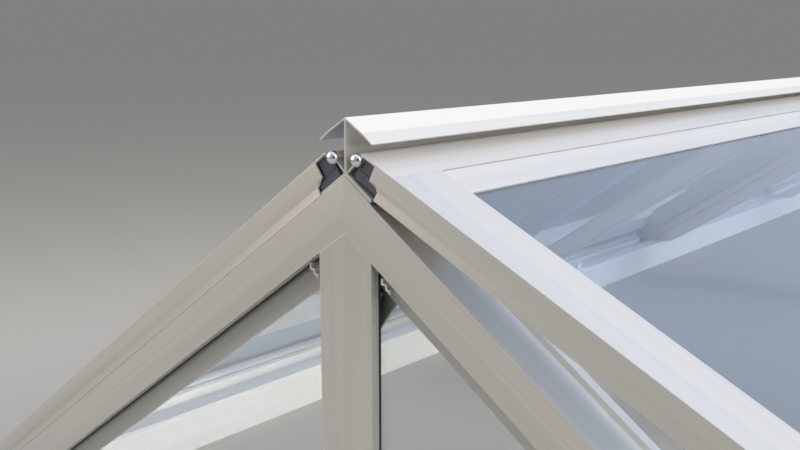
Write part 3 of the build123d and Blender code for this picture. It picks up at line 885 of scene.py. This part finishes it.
# %% Domed hinge studs
DOME_BACK = 0.0026
DOME_ROUNDING = 0.0004
DOME_RINGS = 28
STUD_STEPS = 48
STEM_RADIUS = 0.0014
STEM_LENGTH = 0.014
THREAD_START = 0.0002
THREAD_PITCH = 0.0008
THREAD_DEPTH = 0.0002

stud_profile = [(0.0, DOME_BACK - DOME_RADIUS)]
for ring in range(1, DOME_RINGS + 1):
    angle = pi / 2 * ring / DOME_RINGS
    ring_y = DOME_BACK - DOME_ROUNDING - (DOME_RADIUS - DOME_ROUNDING) * cos(angle)
    stud_profile.append((DOME_RADIUS * sin(angle), ring_y))
stud_profile += [(DOME_RADIUS - DOME_ROUNDING, DOME_BACK), (STEM_RADIUS, DOME_BACK)]
for thread in range(int(STEM_LENGTH / THREAD_PITCH)):
    thread_y = DOME_BACK + THREAD_START + thread * THREAD_PITCH
    stud_profile += [(STEM_RADIUS, thread_y), (STEM_RADIUS - THREAD_DEPTH, thread_y + THREAD_PITCH / 2)]
stud_profile.append((0.0, DOME_BACK + STEM_LENGTH))
stud_mesh = turned(stud_profile, STUD_STEPS, "domed_stud")
stud_places = []
for side in (1, -1):
    for face_y, inward in GABLES:
        stud_places.append(((side * hinge_x, face_y, hinge_z), out_of_gable(inward)))
domed_studs = set_fittings("domed_studs", stud_mesh, stud_places, chrome)
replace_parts(domed_studs, "hinge_studs")

# %% [markdown]
# ## Glazing clips
# Zigzag spring clips press the gable glass back against its stop. Each sits in front of the pane, just under
# the edge of the frame, and looks like a small white bolt of lightning. Two sit beside the post's top in the
# photo, and more follow along the rafters, out of sight. A clip is one strip, so its mesh follows a zigzag
# path and takes its thickness square to it, mitred at the folds.

# %% Folded strips
MITRE_LIMIT = 0.5


def folded_strip(path, thickness, width, name):
    """A strip of even thickness that follows (x, z) points and is width wide along Y."""
    shape = bmesh.new()
    rings = []
    for index, place in enumerate(path):
        middle = Vector(place)
        along_in = (middle - Vector(path[max(index - 1, 0)])).normalized()
        along_out = (Vector(path[min(index + 1, len(path) - 1)]) - middle).normalized()
        along = (along_in + along_out).normalized()
        across = Vector((-along.y, along.x))
        straight = along_in if along_in.length else along_out
        stretch = 1 / max(abs(along.dot(straight)), MITRE_LIMIT)
        pair = [middle + across * side * thickness / 2 * stretch for side in (1, -1)]
        rings.append([shape.verts.new((p.x, y, p.y)) for p in pair for y in (-width / 2, width / 2)])
    for first, second in zip(rings, rings[1:]):
        for a, b in ((0, 1), (1, 3), (3, 2), (2, 0)):
            shape.faces.new([first[a], first[b], second[b], second[a]])
    for end in (rings[0], rings[-1]):
        shape.faces.new([end[0], end[1], end[3], end[2]])
    bmesh.ops.recalc_face_normals(shape, faces=shape.faces)
    return mesh_of(shape, name)


# %% Glazing clips
CLIP_FROM_POST = 0.0420
CLIP_DROP_FROM_CAP = 0.1360
CLIP_DEPTH = 0.0070
CLIP_WIDTH = 0.0050
CLIP_THICKNESS = 0.0018
CLIP_PATH = [(-0.0042, 0.0060), (-0.0042, 0.0012), (0.0002, 0.0006), (0.0006, -0.0030), (0.0040, -0.0036),
             (0.0044, -0.0062)]
CLIP_SPACING = 0.58
CLIPS_PER_RAFTER = 2

clip_mesh = folded_strip(CLIP_PATH, CLIP_THICKNESS, CLIP_WIDTH, "glazing_clip")
clip_places = []
for face_y, inward in GABLES:
    for side in (1, -1):
        for number in range(CLIPS_PER_RAFTER):
            run = number * CLIP_SPACING
            x = side * (CLIP_FROM_POST + run * cos(ROOF_PITCH))
            z = cap_top - CLIP_DROP_FROM_CAP - run * sin(ROOF_PITCH)
            clip_places.append(((x, face_y + inward * CLIP_DEPTH, z), out_of_gable(inward)))
set_fittings("glazing_clips", clip_mesh, clip_places, white_plastic)

# %% [markdown]
# ## Lap sealant
# The lap of each lid's top rail is closed with a bead of dark grey sealant, which lies in the groove at its
# edge and also paints the groove's shade line.
# The beads follow straight paths, so a small tree sweeps a rectangle along each: Curve to Mesh with a
# quadrilateral profile, whose width and height are named inputs.


# %% Sweep a strip along straight paths
def sweep_tree(material):
    """Geometry Nodes that sweep a rectangle along the edges of a mesh."""
    sockets = (("Width", "NodeSocketFloat"), ("Height", "NodeSocketFloat"))
    tree, nodes, links, inputs = new_tree("sweep_strip", sockets)
    path = nodes.new("GeometryNodeMeshToCurve")
    profile = nodes.new("GeometryNodeCurvePrimitiveQuadrilateral")
    swept = nodes.new("GeometryNodeCurveToMesh")
    swept.inputs["Fill Caps"].default_value = True
    links.new(inputs.outputs["Geometry"], path.inputs["Mesh"])
    links.new(inputs.outputs["Width"], profile.inputs["Width"])
    links.new(inputs.outputs["Height"], profile.inputs["Height"])
    links.new(path.outputs["Curve"], swept.inputs["Curve"])
    links.new(profile.outputs["Curve"], swept.inputs["Profile Curve"])
    end_tree(nodes, links, swept.outputs["Mesh"], material)
    return tree


def swept_piece(name, paths, width, height, material):
    """One piece swept along several straight paths, each a pair of points."""
    corners = [point for pair in paths for point in pair]
    edges = [(2 * index, 2 * index + 1) for index in range(len(paths))]
    lines = bpy.data.meshes.new(name + "_paths")
    lines.from_pydata(corners, edges, [])
    holder = in_scene(name + "_holder", lines)
    mesh = settled(holder, sweep_tree(material), {"Width": width, "Height": height})
    return add_piece(name, mesh)


# %% Lap sealant
LAP_END = 0.0402
LAP_GROOVE = 0.0020
LAP_GROOVE_FLOOR = 0.0066
SEALANT_SHARE = 0.9
SEALANT_HEIGHT = 0.0004
STILE_WIDTH = 0.0620

lap_u = LAP_END + LAP_GROOVE / 2
lap_v = LAP_GROOVE_FLOOR + SEALANT_HEIGHT / 2
lap_paths = []
for lid in lids.values():
    lap_ys = [end_y + inward * STILE_WIDTH for end_y, inward in lid["ends"]]
    lap_paths.append([slope_point(lid["side"], lid["pitch"], lap_u, y, lap_v) for y in lap_ys])
# The sealant bead also paints the shade line of the lap groove.
swept_piece("lap_sealant", lap_paths, LAP_GROOVE * SEALANT_SHARE, SEALANT_HEIGHT, sealant_and_groove_shade)

# %% [markdown]
# ## Bolts and screws
# The gusset plates are bolted to post and rafters. Each rafter is screwed down at its foot and near its head,
# with a pair of screws in its top face, or with one at the foot in the channel of a gable rafter. All use one
# button head with a socket, a turned profile again, which is turned to face out of the surface it sits on.

# %% Gusset bolts
BOLT_PROFILE = [(0.0, -0.0008), (0.0011, -0.0008), (0.0012, -0.0020), (0.0022, -0.0019), (0.0031, -0.0013),
                (0.0035, -0.0003), (0.0035, 0.0), (0.0, 0.0)]
BOLT_STEPS = 18
GUSSET_FACE = 0.022
GUSSET_BOLTS = ((0.021, 0.055), (0.021, 0.100), (0.046, 0.078))

roof_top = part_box("gable_rafter_front_left")[1].z
bolt_mesh = turned(BOLT_PROFILE, BOLT_STEPS, "button_bolt")
bolt_places = []
for face_y, inward in GABLES:
    for side in (1, -1):
        for out, drop in GUSSET_BOLTS:
            point = (side * out, face_y + inward * GUSSET_FACE, roof_top - drop)
            bolt_places.append((point, out_of_gable(inward)))
set_fittings("gusset_bolts", bolt_mesh, bolt_places, steel)

# %% Rafter screws
RAFTER_TOP = -0.0200
CHANNEL_MIDDLE = 0.0150
SCREW_HEAD_END = 0.0950
SCREW_FOOT_END = 0.7750
SCREW_HALF_SPACING = 0.0120

screw_places = []
for side in (1, -1):
    out_of_slope = (-pi / 2, side * ROOF_PITCH, 0)
    for rafter_node in ("rafter_right_1", "rafter_right_3"):
        rafter_low, rafter_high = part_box(rafter_node)
        middle_y = (rafter_low.y + rafter_high.y) / 2
        for u in (SCREW_HEAD_END, SCREW_FOOT_END):
            for y in (middle_y - SCREW_HALF_SPACING, middle_y + SCREW_HALF_SPACING):
                screw_places.append((slope_point(side, ROOF_PITCH, u, y, RAFTER_TOP), out_of_slope))
    for face_y, inward in GABLES:
        y = face_y + inward * CHANNEL_MIDDLE
        screw_places.append((slope_point(side, ROOF_PITCH, SCREW_FOOT_END, y, CHANNEL_FLOOR), out_of_slope))
set_fittings("rafter_screws", bolt_mesh, screw_places, steel)

# %% [markdown]
# ## Stay keepers
# A small white keeper stands on the inner edge of the eaves bar under each shut lid, and the lid's stay drops
# over it. It is an upright plate on a foot, with a pin across its top. Three bevelled blocks are enough, as
# it is small and seen through glass.

# %% Stay keepers
KEEPER_FOOT = (0.014, 0.044, 0.003)
KEEPER_PLATE = (0.003, 0.014, 0.018)
KEEPER_PIN = (0.016, 0.005, 0.005)
KEEPER_PIN_LEVEL = 0.8
KEEPER_BEVEL = 0.0008
KEEPER_SHARE = 0.75
KEEPER_INSET = 0.009
BEVEL_SEGMENTS = 2


def block_mesh(blocks, bevel_width, name):
    """Bevelled blocks, each a (size, centre) pair, in one mesh."""
    shape = bmesh.new()
    for size, centre in blocks:
        made = bmesh.ops.create_cube(shape, size=1.0)
        for corner in made["verts"]:
            corner.co = Vector([c * s + p for c, s, p in zip(corner.co, size, centre)])
    bmesh.ops.bevel(shape, geom=shape.edges[:], offset=bevel_width, segments=BEVEL_SEGMENTS, affect="EDGES")
    return mesh_of(shape, name)


keeper_mesh = block_mesh([
    (KEEPER_FOOT, (0, 0, KEEPER_FOOT[2] / 2)),
    (KEEPER_PLATE, (0, 0, KEEPER_FOOT[2] + KEEPER_PLATE[2] / 2)),
    (KEEPER_PIN, (0, 0, KEEPER_FOOT[2] + KEEPER_PLATE[2] * KEEPER_PIN_LEVEL)),
], KEEPER_BEVEL, "stay_keeper")
eave_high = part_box("eave_bar_left")[1]
keeper_places = []
for lid_name, lid in lids.items():
    if lid_name == "front_right":
        continue
    low_y, high_y = [end_y for end_y, inward in lid["ends"]]
    x = lid["side"] * (abs(eave_high.x) + KEEPER_INSET)
    keeper_places.append(((x, low_y + KEEPER_SHARE * (high_y - low_y), eave_high.z), (0, 0, 0)))
set_fittings("stay_keepers", keeper_mesh, keeper_places, white_plastic)

# %% [markdown]
# ## End plugs
# The hooked top rail of a lid is open at its ends, and a dark moulded plug closes each one behind the domed
# stud. Its outline follows the step of the stile, and a thin rib crosses its face. A second plug behind it
# closes the ridge's own channel and shows under the open lid, where its dark plastic also paints the shade
# inside that channel. The outlines are drawn down the slope and square to it, so the same function places
# them on a shut lid, on the open one and on the ridge.


# %% Helpers for plugs and caps
def prism(shape, outline, point_at, near, far):
    """A prism between two depths; point_at(first, second, depth) places the points of its outline."""
    rings = []
    for depth in (near, far):
        rings.append([shape.verts.new(point_at(first, second, depth)) for first, second in outline])
    shape.faces.new(rings[0])
    shape.faces.new(rings[1][::-1])
    for index in range(len(outline)):
        after = (index + 1) % len(outline)
        shape.faces.new([rings[0][index], rings[0][after], rings[1][after], rings[1][index]])


def moulded_piece(shape, name, rounding=0.0):
    """Turn a bmesh of prisms into a piece of dark plastic, with its edges rounded."""
    bmesh.ops.recalc_face_normals(shape, faces=shape.faces)
    if rounding:
        bmesh.ops.bevel(shape, geom=shape.edges[:], offset=rounding, segments=BEVEL_SEGMENTS, affect="EDGES")
    mesh = mesh_of(shape, name)
    mesh.materials.append(dark_plastic)
    return add_piece(name, mesh)


# %% End plugs
PLUG_OUTLINE = [(0.0028, -0.0160), (0.0303, -0.0160), (0.0303, -0.0123), (0.0197, -0.0079), (0.0197, 0.0058),
                (0.0066, 0.0058), (0.0066, -0.0030), (0.0028, -0.0060)]
PLUG_RIB = [(0.0050, -0.0066), (0.0196, -0.0066), (0.0196, -0.0078), (0.0050, -0.0078)]
RIDGE_PLUG_OUTLINE = [(-0.0012, -0.0164), (0.0302, -0.0164), (0.0302, -0.0120), (0.0185, -0.0078),
                      (0.0185, 0.0055), (0.0072, 0.0055), (0.0072, -0.0030), (0.0022, -0.0060)]
PLUG_SET_BACK = 0.0036
PLUG_THICKNESS = 0.0030
PLUG_RIB_RISE = 0.0008


def down_slope(side, pitch):
    """Places points given by u, v and y on one slope."""
    return lambda u, v, y: slope_point(side, pitch, u, y, v)


plug_shape = bmesh.new()
for lid in lids.values():
    on_lid = down_slope(lid["side"], lid["pitch"])
    on_roof = down_slope(lid["side"], ROOF_PITCH)
    for end_y, inward in lid["ends"]:
        plug_front = end_y + inward * PLUG_SET_BACK
        plug_back = plug_front + inward * PLUG_THICKNESS
        prism(plug_shape, PLUG_OUTLINE, on_lid, plug_front, plug_back)
        prism(plug_shape, PLUG_RIB, on_lid, plug_front - inward * PLUG_RIB_RISE, plug_front)
        # The ridge plug's dark plastic also paints the shade inside the ridge channel under the open lid.
        prism(plug_shape, RIDGE_PLUG_OUTLINE, on_roof, plug_back, plug_back + inward * PLUG_THICKNESS)
moulded_piece(plug_shape, "rail_end_plugs")

# %% [markdown]
# ## End caps
# The stiles and the gable ties are tubes, so their open ends are closed with thin moulded caps. A cap has the
# outline of its tube, the stile's with the cove in its side, and stands out by its own thickness.

# %% Stile end caps
LID_TOP = 0.0078
LID_BOTTOM = -0.0196
STILE_BOX_WIDTH = 0.0380
STILE_LIP = -0.0014
COVE_DEPTH = 0.0012
COVE_LOW = -0.0115
CAP_THICKNESS = 0.0018
CAP_ROUNDING = 0.0004

stile_cap_outline = [
    (0, LID_TOP), (STILE_WIDTH, LID_TOP), (STILE_WIDTH, STILE_LIP), (STILE_BOX_WIDTH, STILE_LIP),
    (STILE_BOX_WIDTH, LID_BOTTOM), (0, LID_BOTTOM), (COVE_DEPTH, COVE_LOW), (0, COVE_TOP_NEW),
]
stile_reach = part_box("lid_back_right_stiles")[1].x - hinge_x
lid_end = (stile_reach - LID_TOP * sin(ROOF_PITCH)) / cos(ROOF_PITCH)


def across_stile(lid, end_y, inward):
    """Places points given by the distance from a stile's outer side, v and u."""
    return lambda out, v, u: slope_point(lid["side"], lid["pitch"], u, end_y + inward * out, v)


stile_cap_shape = bmesh.new()
for lid in lids.values():
    for end_y, inward in lid["ends"]:
        on_stile = across_stile(lid, end_y, inward)
        prism(stile_cap_shape, stile_cap_outline, on_stile, lid_end, lid_end + CAP_THICKNESS)
moulded_piece(stile_cap_shape, "stile_end_caps", CAP_ROUNDING)
print("lid length from hinge axis:", round(lid_end, 4))

# %% Tie end caps
TIE_DEPTH = 0.060
TIE_END_HEIGHT = 0.0490


def on_tie(y, z, x):
    """Places points given by y, z and x."""
    return Vector((x, y, z))


tie_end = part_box("gable_tie_front")[1].x
tie_cap_shape = bmesh.new()
for face_y, inward in GABLES:
    far_y = face_y + inward * TIE_DEPTH
    tie_cap_outline = [(face_y, 0), (far_y, 0), (far_y, TIE_END_HEIGHT), (face_y, TIE_END_HEIGHT)]
    for side in (1, -1):
        prism(tie_cap_shape, tie_cap_outline, on_tie, side * tie_end, side * (tie_end + CAP_THICKNESS))
moulded_piece(tie_cap_shape, "tie_end_caps", CAP_ROUNDING)
